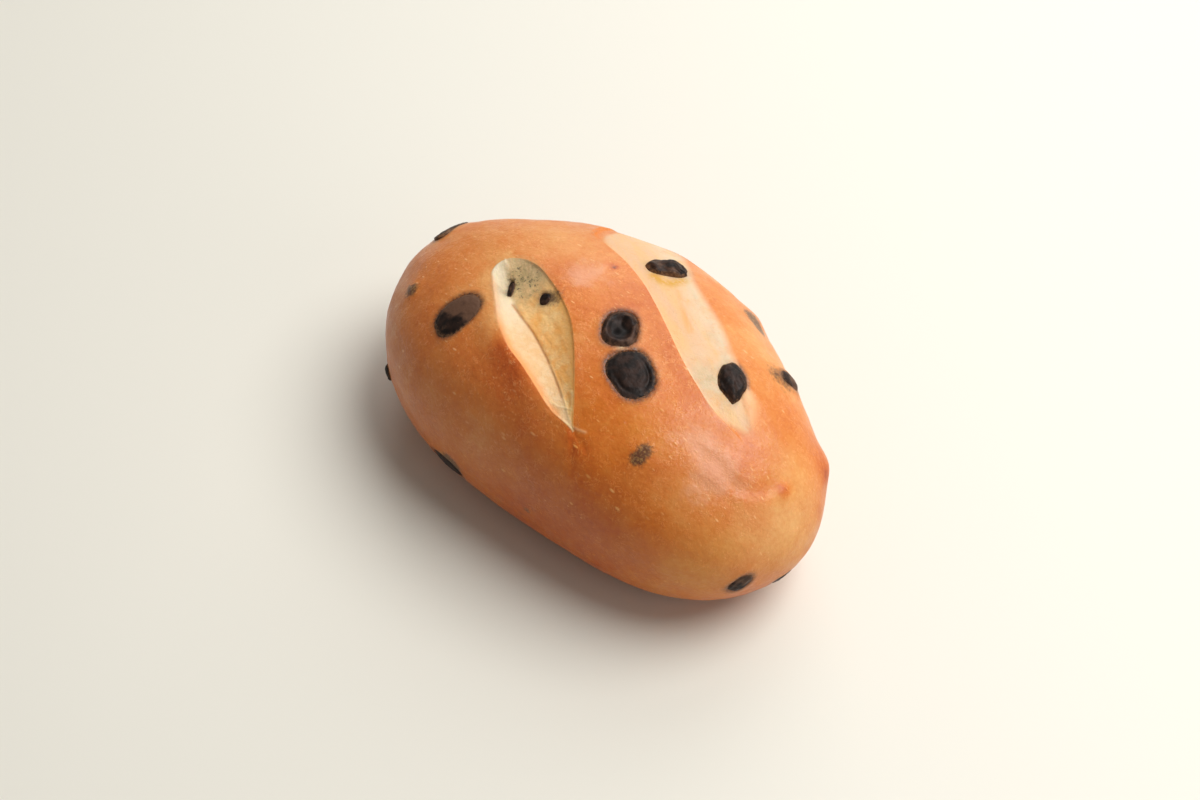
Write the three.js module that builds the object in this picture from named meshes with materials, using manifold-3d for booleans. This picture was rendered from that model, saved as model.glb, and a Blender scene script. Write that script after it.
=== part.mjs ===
// Chocolate vienna bread: a small soft roll with two slanting slashes in its top and chips in its crust.
// Millimetres, Z up. The roll lies on z = 0 with its length along X, and the origin is under its middle.

import * as THREE from "three";
import { mergeVertices } from "three/addons/utils/BufferGeometryUtils.js";
import Module from "manifold-3d";

const wasm = await Module();
wasm.setup();

// Sizes of the roll
const roll = {
  halfLength: 53.6,
  halfWidth: 33.1,
  height: 46,
  middle: [0.5, -2.15], // where the form's own centre lies, so that the box around the part is centred
  planPower: 2.1, // 2 gives an oval plan, more a squarer one
  sectionPower: 2.2, // the same for the section
  taper: -0.07, // share by which the +X end is narrower
  waist: 0.42, // height of the widest line, as a share of the height
  tuck: 1.35, // how far the underside would reach below the waist if the tray didn't flatten it
  baseBend: 1.2, // softness of the bend into the flat base
  lobes: [ // slow waves of the outline: how many, how large a share, where in degrees
    { count: 3, share: 0.0456, at: -87.6 },
    { count: 4, share: 0.0114, at: 4.7 },
    { count: 5, share: 0.0225, at: 122.2 },
  ],
};

// The two slashes run from a pointed tip towards a blunt head. Left and right are the widths beside the centre
// line, and valley is how far across it the deepest line lies, at equal steps from tip to head.
const slashes = [
  { // the deep one, opened to a V with a crease
    tip: [10.6, -21.4],
    heading: 152.3,
    length: 43.5,
    left: [0.3, 2.7, 3.9, 5, 6.3, 6.6, 5.6, 4.5, 3.6],
    right: [0.2, 2.2, 4.1, 5.8, 7, 7.2, 6.7, 5.6, 3],
    valley: [0, -0.15, -0.35, -0.45, -0.75, -1.4, -2.2, -1.8, -0.4],
    depth: 3.7,
    ramp: 0.5, // share of the length over which it gets deep
    round: 0.07, // share of the length over which the head is rounded
    profile: (share) => 0.09 + 0.91 * (1 - Math.abs(share)) * (1 + 0.4 * Math.abs(share)),
  },
  { // the long shallow one, with a step at its left lip
    tip: [37.5, 0.6],
    heading: 152.3,
    length: 68,
    left: [2.2, 5.1, 6.7, 7.4, 7.5, 7.5, 7.8, 8.9, 10.6, 12.2, 9],
    right: [0.8, 3.1, 3.7, 4.2, 4.6, 4.2, 4.1, 5.3, 6.5, 6.1, 4.5],
    valley: [0, 0],
    depth: 1.3,
    ramp: 0.12,
    round: 0.14,
    profile: (share) => 0.16 + 0.42 * (1 - share),
  },
];

// The crust stands up a little along the deep slash's left lip
const lipRidge = { height: 0.5, width: 2.6, beside: 1.6, from: 4, to: 28 };

// Bumps where a chip sits just under the crust: place on the roll in degrees, radius, height
const bumps = [
  { lon: -151, lat: 32, radius: 3.2, height: 0.55 },
  { lon: 174, lat: 29, radius: 5, height: 0.5 },
  { lon: 75, lat: 22, radius: 4.8, height: 0.9 },
  { lon: 49, lat: 30, radius: 4.8, height: 0.9 },
  { lon: -49, lat: 49, radius: 3.4, height: 0.35 },
  { lon: -1, lat: 31, radius: 2.4, height: 0.4 },
  { lon: 30, lat: 11, radius: 5, height: 1 },
  { lon: 112, lat: -8, radius: 5, height: 0.9 },
  { lon: 86, lat: 4, radius: 4.5, height: 0.8 },
];

// Chips that break the crust: longitude and latitude, turn of the long axis from east to north, half length and
// half width, height above the crust, depth below it.
const chips = [
  { name: "chip_01", at: [-135.4, 48.7], turn: 113, half: [5.7, 3.9], proud: 0.5, deep: 2.2, form: "oval" },
  { name: "chip_02", at: [-5.5, 86.3], turn: 41, half: [4.8, 3.9], proud: 0.7, deep: 2.6, form: "ring" },
  { name: "chip_03", at: [-41.5, 72.6], turn: -70, half: [5.9, 4.7], proud: 0.6, deep: 2.6, form: "disc" },
  { name: "chip_04", at: [95, 52.5], turn: 42, half: [4.6, 2.6], proud: 2, deep: 1.5, form: "lumps" },
  { name: "chip_05", at: [24.4, 57.5], turn: -160, half: [5, 3.1], proud: 1.7, deep: 1.8, form: "drop" },
  { name: "chip_06", at: [-162.5, 63.1], turn: 12, half: [2.3, 0.8], proud: 0.3, deep: 1, form: "oval" },
  { name: "chip_07", at: [-158, 73.4], turn: 0, half: [1.4, 1.3], proud: 0.3, deep: 1.2, form: "oval" },
  { name: "chip_08", at: [-137, -7.5], turn: -35, half: [2, 1.5], proud: 1.1, deep: 1.4, form: "oval" },
  { name: "chip_09", at: [-108.5, -15], turn: -2, half: [4.4, 2.8], proud: 0.4, deep: 2, form: "oval" },
  { name: "chip_10", at: [174, 26.5], turn: 21, half: [4.8, 2.6], proud: 0.4, deep: 1.8, form: "oval" },
  { name: "chip_11", at: [47.5, 31.5], turn: -100, half: [2.7, 1.8], proud: 0.4, deep: 1.6, form: "oval" },
  { name: "chip_12", at: [-27.9, 0], turn: 49, half: [3, 1.9], proud: 0.4, deep: 1.8, form: "oval" },
  { name: "chip_13", at: [-8, -15.5], turn: -20, half: [3.2, 1.7], proud: 0.4, deep: 1.6, form: "oval" },
  { name: "chip_14", at: [139, 20], turn: 30, half: [4.4, 3.3], proud: 0.5, deep: 2.2, form: "disc" },
  { name: "chip_15", at: [156, -6], turn: 75, half: [3.4, 2.6], proud: 0.6, deep: 1.8, form: "oval" },
  { name: "chip_16", at: [66, -9], turn: 10, half: [4, 2.8], proud: 0.5, deep: 2, form: "oval" },
  { name: "chip_17", at: [178, 8], turn: -40, half: [3, 2.4], proud: 0.7, deep: 1.6, form: "drop" },
  { name: "chip_18", at: [20, -16], turn: 60, half: [2.8, 2.2], proud: 0.5, deep: 1.6, form: "oval" },
];

const chipEdge = 0.35; // how far a chip's widest line lies below the crust
const chipGap = 0.3; // clear space between a chip and its pocket
const chipBend = 40; // radius of the crust that a chip follows

// Finish and number of cells
const crustLook = { color: 0xc4763a, roughness: 0.45, metalness: 0 };
const chipLook = { color: 0x2e211c, roughness: 0.4, metalness: 0 };
const rollCells = [28, 22, 17];
const chipCells = { ring: [14, 10], disc: [14, 10], oval: [10, 6], lumps: [12, 7], drop: [12, 7] };
const slashCells = 18;
const slashCellsAcross = 6;
const slashLift = 2.5; // how far a slash cutter reaches above the crust

const radians = THREE.MathUtils.degToRad;

// Unit direction of a longitude and latitude in degrees
function direction(lon, lat) {
  const flat = Math.cos(radians(lat));
  return new THREE.Vector3(flat * Math.cos(radians(lon)), flat * Math.sin(radians(lon)), Math.sin(radians(lat)));
}

// Factor of the outline at a point of the unit form
function outline(qx, qy) {
  const around = Math.atan2(qy, qx);
  const reach = Math.min(Math.hypot(qx, qy), 1);
  let factor = 1;
  for (const lobe of roll.lobes) {
    factor += lobe.share * Math.cos(lobe.count * around - radians(lobe.at)) * reach ** 2;
  }
  return factor;
}

// The plain roll without slashes or bumps
function plainPoint(dir) {
  const plan = Math.abs(dir.x) ** roll.planPower + Math.abs(dir.y) ** roll.planPower;
  const sum = plan ** (roll.sectionPower / roll.planPower) + Math.abs(dir.z) ** roll.sectionPower;
  const q = dir.clone().multiplyScalar(sum ** (-1 / roll.sectionPower));
  const factor = outline(q.x, q.y);
  const waist = roll.height * roll.waist;
  let z = waist + q.z * (q.z > 0 ? roll.height - waist : waist * roll.tuck);
  if (z < 4 * roll.baseBend) {
    z = roll.baseBend * Math.log1p(Math.exp(z / roll.baseBend));
  }
  return new THREE.Vector3(
    roll.middle[0] + q.x * roll.halfLength * factor,
    roll.middle[1] + q.y * roll.halfWidth * (1 + roll.taper * q.x) * factor,
    z,
  );
}

// Outward normal of any surface given as a function of direction
function normalOf(surface, dir) {
  const step = 0.003;
  const side = Math.abs(dir.z) < 0.9 ? new THREE.Vector3(0, 0, 1) : new THREE.Vector3(1, 0, 0);
  const a = new THREE.Vector3().crossVectors(side, dir).normalize();
  const b = new THREE.Vector3().crossVectors(dir, a);
  const ahead = (tangent, sign) => surface(dir.clone().addScaledVector(tangent, sign * step).normalize());
  const alongA = ahead(a, 1).sub(ahead(a, -1));
  const alongB = ahead(b, 1).sub(ahead(b, -1));
  return alongA.cross(alongB).normalize();
}

// Smooth curve through values at equal steps, at x from 0 to 1
function through(values, x) {
  const last = values.length - 1;
  const at = THREE.MathUtils.clamp(x, 0, 1) * last;
  const i = Math.min(Math.floor(at), last - 1);
  const f = at - i;
  const p0 = values[Math.max(i - 1, 0)];
  const p1 = values[i];
  const p2 = values[i + 1];
  const p3 = values[Math.min(i + 2, last)];
  return p1 + 0.5 * f * (p2 - p0 + f * (2 * p0 - 5 * p1 + 4 * p2 - p3 + f * (3 * (p1 - p2) + p3 - p0)));
}

// Rounds a slash off towards its head
function headRound(slash, x) {
  const past = Math.max(0, 1 - (1 - x) / slash.round);
  return Math.sqrt(Math.max(0, 1 - past ** 2));
}

// Distances along and across a slash of a plan point, measured from its tip
function inSlash(slash, x, y) {
  const dx = x - roll.middle[0] - slash.tip[0];
  const dy = y - roll.middle[1] - slash.tip[1];
  const c = Math.cos(radians(slash.heading));
  const s = Math.sin(radians(slash.heading));
  return { along: dx * c + dy * s, across: dx * s - dy * c };
}

// The plan point at a distance along and across a slash
function fromSlash(slash, along, across) {
  const c = Math.cos(radians(slash.heading));
  const s = Math.sin(radians(slash.heading));
  return [
    roll.middle[0] + slash.tip[0] + along * c + across * s,
    roll.middle[1] + slash.tip[1] + along * s - across * c,
  ];
}

function leftWidth(slash, x) {
  return Math.max(0.15, through(slash.left, x) * headRound(slash, x));
}

function rightWidth(slash, x) {
  return Math.max(0.15, through(slash.right, x) * headRound(slash, x));
}

// How far across a slash the deepest line lies
function valley(slash, x) {
  return through(slash.valley, x) * headRound(slash, x);
}

// Place from the left lip, -1, over the deepest line, 0, to the right lip, 1
function shareAcross(slash, x, across) {
  const off = across - valley(slash, x);
  return off < 0 ? off / (leftWidth(slash, x) + valley(slash, x)) : off / (rightWidth(slash, x) - valley(slash, x));
}

// Depth of a slash at x from 0 to 1 along it and at a share across it
function slashDepth(slash, x, share) {
  const grown = THREE.MathUtils.smoothstep(x, -0.1 * slash.ramp, slash.ramp);
  const closed = THREE.MathUtils.smoothstep(1 - x, -0.02, 0.12);
  return slash.depth * grown * closed * slash.profile(share);
}

// Height of the small raised forms at a point of the plain roll
function relief(point) {
  let height = 0;
  for (const bump of bumps) {
    const away = point.distanceTo(bump.centre) / bump.radius;
    height += bump.height * Math.exp(-(away ** 2) * 1.6);
  }
  const deep = slashes[0];
  const { along, across } = inSlash(deep, point.x, point.y);
  if (point.z > roll.height / 2 && across < 0) {
    const beside = (-across - leftWidth(deep, along / deep.length) - lipRidge.beside) / lipRidge.width;
    const rise = THREE.MathUtils.smoothstep(along, lipRidge.from, lipRidge.from + 8);
    const fall = THREE.MathUtils.smoothstep(lipRidge.to + 8 - along, 0, 8);
    height += lipRidge.height * Math.exp(-(beside ** 2)) * rise * fall;
  }
  return height;
}

// The crust: the plain roll with its bumps and ridge
function crustPoint(dir) {
  const point = plainPoint(dir);
  return point.addScaledVector(normalOf(plainPoint, dir), relief(point));
}

// Direction of the plain roll's upper surface over a plan point
function directionOver(x, y) {
  let qx = 0;
  let qy = 0;
  for (let i = 0; i < 30; i += 1) {
    const factor = outline(qx, qy);
    qx = (x - roll.middle[0]) / (roll.halfLength * factor);
    qy = (y - roll.middle[1]) / (roll.halfWidth * (1 + roll.taper * qx) * factor);
  }
  const plan = (Math.abs(qx) ** roll.planPower + Math.abs(qy) ** roll.planPower) ** (1 / roll.planPower);
  const qz = Math.max(0.02, 1 - Math.min(plan, 1) ** roll.sectionPower) ** (1 / roll.sectionPower);
  return new THREE.Vector3(qx, qy, qz).normalize();
}

// The surface with the slashes in it, which carries the chips
function skinPoint(dir) {
  const point = crustPoint(dir);
  const plain = plainPoint(dir);
  let depth = 0;
  for (const slash of slashes) {
    const { along, across } = inSlash(slash, plain.x, plain.y);
    const x = along / slash.length;
    if (plain.z > roll.height / 3 && x > 0 && x < 1) {
      const share = shareAcross(slash, x, across);
      if (Math.abs(share) < 1) {
        depth += slashDepth(slash, x, share);
      }
    }
  }
  return point.addScaledVector(normalOf(plainPoint, dir), -depth);
}

for (const bump of bumps) {
  bump.centre = plainPoint(direction(bump.lon, bump.lat));
}

// Welded copy of a geometry with positions only
function weld(geometry) {
  geometry.deleteAttribute("normal");
  geometry.deleteAttribute("uv");
  return mergeVertices(geometry, 1e-4);
}

function toManifold(geometry) {
  return new wasm.Manifold(new wasm.Mesh({
    numProp: 3,
    vertProperties: new Float32Array(geometry.attributes.position.array),
    triVerts: new Uint32Array(geometry.index.array),
  }));
}

function toGeometry(solid) {
  const mesh = solid.getMesh();
  const geometry = new THREE.BufferGeometry();
  geometry.setAttribute("position", new THREE.BufferAttribute(mesh.vertProperties, 3));
  geometry.setIndex(new THREE.BufferAttribute(mesh.triVerts, 1));
  geometry.computeVertexNormals();
  return geometry;
}

// A cube of even cells, blown up to directions and laid on the crust
function rollGeometry() {
  const geometry = weld(new THREE.BoxGeometry(2, 2, 2, ...rollCells));
  const place = geometry.attributes.position;
  const dir = new THREE.Vector3();
  for (let i = 0; i < place.count; i += 1) {
    dir.fromBufferAttribute(place, i);
    dir.set(...dir.toArray().map((share) => Math.tan(share * Math.PI / 4))).normalize(); // even cells
    const point = crustPoint(dir);
    place.setXYZ(i, point.x, point.y, point.z);
  }
  return geometry;
}

// A leaf-shaped block whose underside is the slash's floor
function slashGeometry(slash) {
  const geometry = weld(new THREE.BoxGeometry(1, 2, 1, slashCells, slashCellsAcross, 1));
  const place = geometry.attributes.position;
  for (let i = 0; i < place.count; i += 1) {
    const x = 0.5 + 0.5 * Math.sin(Math.PI * place.getX(i)); // closer cells towards both ends
    const share = -place.getY(i);
    const deepest = valley(slash, x);
    const halfWidth = share < 0 ? leftWidth(slash, x) + deepest : rightWidth(slash, x) - deepest;
    const across = deepest + share * halfWidth;
    const dir = directionOver(...fromSlash(slash, x * slash.length, across));
    const point = crustPoint(dir);
    const offset = place.getZ(i) > 0 ? slashLift : -slashDepth(slash, x, share);
    point.addScaledVector(normalOf(plainPoint, dir), offset);
    place.setXYZ(i, point.x, point.y, point.z);
  }
  return geometry;
}

// How the top of a chip rises and falls from a plain dome, at a share r of its radius
function topFactor(form, r, angle) {
  if (form === "ring") {
    return 0.15 + 1.3 * Math.exp(-(((r - 0.66) / 0.24) ** 2));
  }
  if (form === "disc") {
    return 1.25 * Math.exp(-((r / 0.45) ** 2)) + 0.9 * Math.exp(-(((r - 0.85) / 0.2) ** 2));
  }
  if (form === "lumps") {
    return (0.85 + 0.12 * Math.cos(5 * r * Math.cos(angle) + 0.8)) * (1 + 0.6 * r * r);
  }
  return 1;
}

// How far a chip's outline is from an oval: a drop narrows to a point, the others are a little lumpy
function edgeFactors(form, r, angle) {
  if (form === "drop") {
    return [1, 1 - 0.6 * Math.max(0, Math.cos(angle)) ** 2 * r];
  }
  const wave = 1 + 0.07 * Math.sin(2 * angle) ** 2 + 0.03 * Math.cos(3 * angle + 0.6);
  return [wave, wave];
}

// A chip in its own frame, Z out of the crust and X along its length, made larger by grow
function chipGeometry(chip, grow, plainTop) {
  const geometry = weld(new THREE.SphereGeometry(1, ...chipCells[chip.form]).rotateX(Math.PI / 2));
  const place = geometry.attributes.position;
  for (let i = 0; i < place.count; i += 1) {
    const r = Math.hypot(place.getX(i), place.getY(i));
    const angle = Math.atan2(place.getY(i), place.getX(i));
    const dome = Math.sqrt(Math.max(0, 1 - r * r));
    const [longer, wider] = edgeFactors(chip.form, r, angle);
    const x = place.getX(i) * (chip.half[0] * longer + grow);
    const y = place.getY(i) * (chip.half[1] * wider + grow);
    let z = -dome * (chip.deep - chipEdge + grow);
    if (place.getZ(i) > 0) {
      z = dome * (chip.proud + chipEdge + grow) * (plainTop ? 1 : topFactor(chip.form, r, angle));
    }
    place.setXYZ(i, x, y, z - chipEdge - (x * x + y * y) / (2 * chipBend));
  }
  return geometry;
}

// Where a chip sits: on the skin, facing out of it, its length turned from east to north
function seatChip(chip) {
  const dir = direction(...chip.at);
  const normal = normalOf(skinPoint, dir);
  const east = new THREE.Vector3(-dir.y, dir.x, 0).normalize();
  east.addScaledVector(normal, -east.dot(normal)).normalize();
  const north = new THREE.Vector3().crossVectors(normal, east);
  const turn = radians(chip.turn);
  const long = east.clone().multiplyScalar(Math.cos(turn)).addScaledVector(north, Math.sin(turn));
  const wide = new THREE.Vector3().crossVectors(normal, long);
  return new THREE.Matrix4().makeBasis(long, wide, normal).setPosition(skinPoint(dir));
}

const group = new THREE.Group();

let solid = toManifold(rollGeometry());
for (const slash of slashes) {
  solid = solid.subtract(toManifold(slashGeometry(slash)));
}

for (const chip of chips) {
  const seat = seatChip(chip);
  const pocket = chipGeometry(chip, chipGap, true).applyMatrix4(seat);
  solid = solid.subtract(toManifold(pocket));
  const mesh = new THREE.Mesh(chipGeometry(chip, 0, false), new THREE.MeshStandardMaterial(chipLook));
  mesh.geometry.computeVertexNormals();
  mesh.name = chip.name;
  mesh.applyMatrix4(seat);
  group.add(mesh);
}

const loaf = new THREE.Mesh(toGeometry(solid), new THREE.MeshStandardMaterial(crustLook));
loaf.name = "loaf";
group.add(loaf);

export default group;
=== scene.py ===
import math
from functools import partial

import bmesh
import bpy
import numpy as np
from mathutils import Matrix, Vector


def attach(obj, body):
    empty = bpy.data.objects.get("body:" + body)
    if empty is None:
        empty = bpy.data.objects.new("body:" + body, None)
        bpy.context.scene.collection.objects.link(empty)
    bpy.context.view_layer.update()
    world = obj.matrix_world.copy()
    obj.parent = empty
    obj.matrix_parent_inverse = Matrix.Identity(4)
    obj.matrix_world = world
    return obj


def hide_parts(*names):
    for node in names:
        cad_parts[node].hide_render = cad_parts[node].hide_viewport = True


# Chocolate vienna bread: a small soft roll with two slanting slashes and chocolate chips in its crust.
# Sizes are in millimetres until a mesh is written, then in metres.

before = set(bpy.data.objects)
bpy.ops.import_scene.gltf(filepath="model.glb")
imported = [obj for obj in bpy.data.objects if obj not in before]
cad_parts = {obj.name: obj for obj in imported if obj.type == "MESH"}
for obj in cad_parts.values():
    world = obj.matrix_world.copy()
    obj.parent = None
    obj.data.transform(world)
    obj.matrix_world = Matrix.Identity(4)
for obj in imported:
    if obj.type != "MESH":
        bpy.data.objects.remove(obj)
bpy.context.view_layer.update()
mm = 0.001

# the roll's form, as in the solids
rollForm = {
    "halfLength": 53.6,
    "halfWidth": 33.1,
    "height": 46.0,
    "middle": (0.5, -2.15),
    "planPower": 2.1,
    "sectionPower": 2.2,
    "taper": -0.07,
    "waist": 0.42,  # height of the widest line over the whole height
    "tuck": 1.35,  # how far the underside would reach below it without the tray
    "baseBend": 1.2,
    "lobes": ((3, 0.0456, -87.6), (4, 0.0114, 4.7), (5, 0.0225, 122.2)),
}

deepSlash = {
    "tip": (10.6, -21.4),
    "heading": 152.3,
    "length": 43.5,
    "left": (0.3, 2.7, 3.9, 5.0, 6.3, 6.6, 5.6, 4.5, 3.6),
    "right": (0.2, 2.2, 4.1, 5.8, 7.0, 7.2, 6.7, 5.6, 3.0),
    "valley": (0, -0.15, -0.35, -0.45, -0.75, -1.4, -2.2, -1.8, -0.4),
    "depth": 3.7,
    "ramp": 0.5,
    "round": 0.07,
    "edge": 0.3,  # width over which the left lip drops, in mm
    "softRight": 0.0,  # how much more of it the right lip takes
    "softHead": 1.6,  # and the left lip near the head
}

longSlash = {
    "tip": (37.5, 0.6),
    "heading": 152.3,
    "length": 68.0,
    "left": (2.2, 5.1, 6.7, 7.4, 7.5, 7.5, 7.8, 8.9, 10.6, 12.2, 9.0),
    "right": (0.8, 3.1, 3.7, 4.2, 4.6, 4.2, 4.1, 5.3, 6.5, 6.1, 4.5),
    "valley": (0, 0),
    "depth": 1.3,
    "ramp": 0.12,
    "round": 0.14,
    "edge": 0.5,
    "softRight": 2.6,
    "softHead": 0.0,
}

# the swollen crust left of the deep slash
lipRidge = {"height": 0.5, "width": 2.6, "beside": 1.6, "start": 4, "end": 28, "fade": 8}

# chips just under the crust: longitude, latitude, radius, height
crustBumps = (
    (-151, 32, 3.2, 0.55), (174, 29, 5, 0.5), (75, 22, 4.8, 0.9), (49, 30, 4.8, 0.9), (-49, 49, 3.4, 0.35),
    (-1, 31, 2.4, 0.4), (30, 11, 5, 1), (112, -8, 5, 0.9), (86, 4, 4.5, 0.8),
)


def smoothStep(x, low, high):
    t = np.clip((x - low) / (high - low), 0, 1)
    return t * t * (3 - 2 * t)


def unit(vectors):
    return vectors / np.linalg.norm(vectors, axis=-1, keepdims=True)


def direction(lon, lat):
    lon, lat = np.radians(lon), np.radians(lat)
    return np.stack([np.cos(lat) * np.cos(lon), np.cos(lat) * np.sin(lon), np.sin(lat)], -1)


def plainPoint(dirs):
    f = rollForm
    plan = np.abs(dirs[:, 0]) ** f["planPower"] + np.abs(dirs[:, 1]) ** f["planPower"]
    total = plan ** (f["sectionPower"] / f["planPower"]) + np.abs(dirs[:, 2]) ** f["sectionPower"]
    q = dirs * (total ** (-1 / f["sectionPower"]))[:, None]
    around = np.arctan2(q[:, 1], q[:, 0])
    reach = np.minimum(np.hypot(q[:, 0], q[:, 1]), 1)
    factor = 1.0
    for count, share, at in f["lobes"]:
        factor = factor + share * np.cos(count * around - math.radians(at)) * reach ** 2
    waist = f["height"] * f["waist"]
    z = waist + q[:, 2] * np.where(q[:, 2] > 0, f["height"] - waist, waist * f["tuck"])
    soft = f["baseBend"] * np.log1p(np.exp(np.clip(z / f["baseBend"], -50, 30)))
    z = np.where(z < 4 * f["baseBend"], soft, z)
    x = f["middle"][0] + q[:, 0] * f["halfLength"] * factor
    y = f["middle"][1] + q[:, 1] * f["halfWidth"] * (1 + f["taper"] * q[:, 0]) * factor
    return np.stack([x, y, z], -1)


def normalOf(surface, dirs, step=0.003):
    side = np.where(np.abs(dirs[:, 2:3]) < 0.9, [[0, 0, 1.0]], [[1.0, 0, 0]])
    a = unit(np.cross(side, dirs))
    b = np.cross(dirs, a)
    alongA = surface(unit(dirs + a * step)) - surface(unit(dirs - a * step))
    alongB = surface(unit(dirs + b * step)) - surface(unit(dirs - b * step))
    return unit(np.cross(alongA, alongB))


# smooth curve through values at equal steps, x from 0 to 1
def through(values, x):
    v = np.asarray(values, float)
    last = len(v) - 1
    at = np.clip(x, 0, 1) * last
    i = np.minimum(np.floor(at).astype(int), last - 1)
    f = at - i
    p0, p1, p2, p3 = v[np.maximum(i - 1, 0)], v[i], v[i + 1], v[np.minimum(i + 2, last)]
    return p1 + 0.5 * f * (p2 - p0 + f * (2 * p0 - 5 * p1 + 4 * p2 - p3 + f * (3 * (p1 - p2) + p3 - p0)))


def slashWidth(slash, side, x):
    past = np.maximum(0, 1 - (1 - x) / slash["round"])
    head = np.sqrt(np.maximum(0, 1 - past ** 2))
    width = through(slash[side], x) * head
    return width if side == "valley" else np.maximum(0.15, width)


# place of points along and across a slash, and how far inside its outline they are, in mm
def inSlash(slash, points):
    c, s = math.cos(math.radians(slash["heading"])), math.sin(math.radians(slash["heading"]))
    dx = points[:, 0] - rollForm["middle"][0] - slash["tip"][0]
    dy = points[:, 1] - rollForm["middle"][1] - slash["tip"][1]
    along, across = dx * c + dy * s, dx * s - dy * c
    x = along / slash["length"]
    left, right, valley = (slashWidth(slash, side, x) for side in ("left", "right", "valley"))
    inside = np.where(across < 0, left, right) - np.abs(across)
    fromValley = across - valley
    share = fromValley / np.where(fromValley < 0, left + valley, right - valley)
    inside = np.minimum(inside, np.minimum(along, slash["length"] - along) + 0.3)
    inside = np.where(points[:, 2] > rollForm["height"] * 0.3, inside, -9)
    share = np.clip(share, -1, 1)
    return {
        "x": x, "along": along, "across": across, "fromValley": fromValley, "share": share, "inside": inside,
    }


def slashDepth(slash, place):
    share = np.abs(place["share"])
    if slash is deepSlash:
        profile = 0.09 + 0.91 * (1 - share) * (1 + 0.4 * share)
    else:
        profile = 0.16 + 0.42 * (1 - place["share"])
    grown = smoothStep(place["x"], -0.1 * slash["ramp"], slash["ramp"])
    closed = smoothStep(1 - place["x"], -0.02, 0.12)
    edge = slash["edge"] + slash["softRight"] * smoothStep(place["across"], 0, 2)
    edge = edge + slash["softHead"] * smoothStep(place["x"], 0.45, 0.62) * (place["across"] < 0)
    return slash["depth"] * grown * closed * profile * smoothStep(place["inside"] / edge, 0, 1)


def relief(points):
    height = np.zeros(len(points))
    for lon, lat, radius, rise in crustBumps:
        centre = plainPoint(direction(np.array([lon]), np.array([lat])))
        away = np.linalg.norm(points - centre, axis=1) / radius
        height += rise * np.exp(-1.6 * away ** 2)
    r = lipRidge
    place = inSlash(deepSlash, points)
    beside = (-place["across"] - slashWidth(deepSlash, "left", place["x"]) - r["beside"]) / r["width"]
    along, fade = place["along"], r["fade"]
    ends = smoothStep(along, r["start"], r["start"] + fade) * smoothStep(r["end"] + fade - along, 0, fade)
    ridge = r["height"] * np.exp(-beside ** 2) * ends
    return height + np.where((points[:, 2] > rollForm["height"] / 2) & (place["across"] < 0), ridge, 0)


def skinPoint(dirs):
    plain = plainPoint(dirs)
    lift = relief(plain)
    for slash in (deepSlash, longSlash):
        lift = lift - slashDepth(slash, inSlash(slash, plain))
    return plain + normalOf(plainPoint, dirs) * lift[:, None]


# slow waves in all directions, about -1 to 1, of a typical length in mm
def slowWaves(points, length, seed, count=14):
    draw = np.random.default_rng(seed)
    total = np.zeros(len(points))
    for _ in range(count):
        way = unit(draw.normal(size=3)) * (2 * math.pi / length) * draw.uniform(0.7, 1.4)
        total += np.cos(points @ way + draw.uniform(0, 2 * math.pi))
    return total / math.sqrt(count / 2) / 2


def soft(points, place, reach):
    return np.exp(-(np.linalg.norm(points - np.array(place), axis=1) / reach) ** 2)


def spots(points, table):
    return sum(amount * soft(points, place, reach) for place, reach, amount in table)


# The chips. The place is a longitude and a latitude, the turn is that of the long axis from east to north,
# proud and deep are above and below the crust, and skin is how much brown matte skin the top has.
chipColumns = ("lon", "lat", "turn", "halfLong", "halfWide", "proud", "deep", "form", "skin")
chipTable = {
    "chip_01": (-135.4, 48.7, 113, 5.7, 3.9, 0.5, 2.2, "oval", 0.8),
    "chip_02": (-5.5, 86.3, 41, 4.8, 3.9, 0.7, 2.6, "ring", 0.4),
    "chip_03": (-41.5, 72.6, -70, 5.9, 4.7, 0.6, 2.6, "disc", 0.1),
    "chip_04": (95, 52.5, 42, 4.6, 2.6, 2.0, 1.5, "lumps", 0.4),
    "chip_05": (24.4, 57.5, -160, 5.0, 3.1, 1.7, 1.8, "drop", 0.2),
    "chip_06": (-162.5, 63.1, 12, 2.3, 0.8, 0.3, 1.0, "oval", 0.3),
    "chip_07": (-158, 73.4, 0, 1.4, 1.3, 0.3, 1.2, "oval", 0.3),
    "chip_08": (-137, -7.5, -35, 2.0, 1.5, 1.1, 1.4, "oval", 0.0),
    "chip_09": (-108.5, -15, -2, 4.4, 2.8, 0.4, 2.0, "oval", 0.2),
    "chip_10": (174, 26.5, 21, 4.8, 2.6, 0.4, 1.8, "oval", 0.5),
    "chip_11": (47.5, 31.5, -100, 2.7, 1.8, 0.4, 1.6, "oval", 0.6),
    "chip_12": (-27.9, 0, 49, 3.0, 1.9, 0.4, 1.8, "oval", 0.5),
    "chip_13": (-8, -15.5, -20, 3.2, 1.7, 0.4, 1.6, "oval", 0.3),
    "chip_14": (139, 20, 30, 4.4, 3.3, 0.5, 2.2, "disc", 0.3),
    "chip_15": (156, -6, 75, 3.4, 2.6, 0.6, 1.8, "oval", 0.4),
    "chip_16": (66, -9, 10, 4.0, 2.8, 0.5, 2.0, "oval", 0.6),
    "chip_17": (178, 8, -40, 3.0, 2.4, 0.7, 1.6, "drop", 0.2),
    "chip_18": (20, -16, 60, 2.8, 2.2, 0.5, 1.6, "oval", 0.4),
}
chipEdge = 0.35  # depth of a chip's widest line
chipBend = 40.0  # radius of the crust that a chip follows
# film: how much dough dried on the edge; clear: by how many mm the dark halo in the crust is narrower
chipEdges = {"chip_06": {"film": 1.0, "clear": 0.5}}


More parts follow.
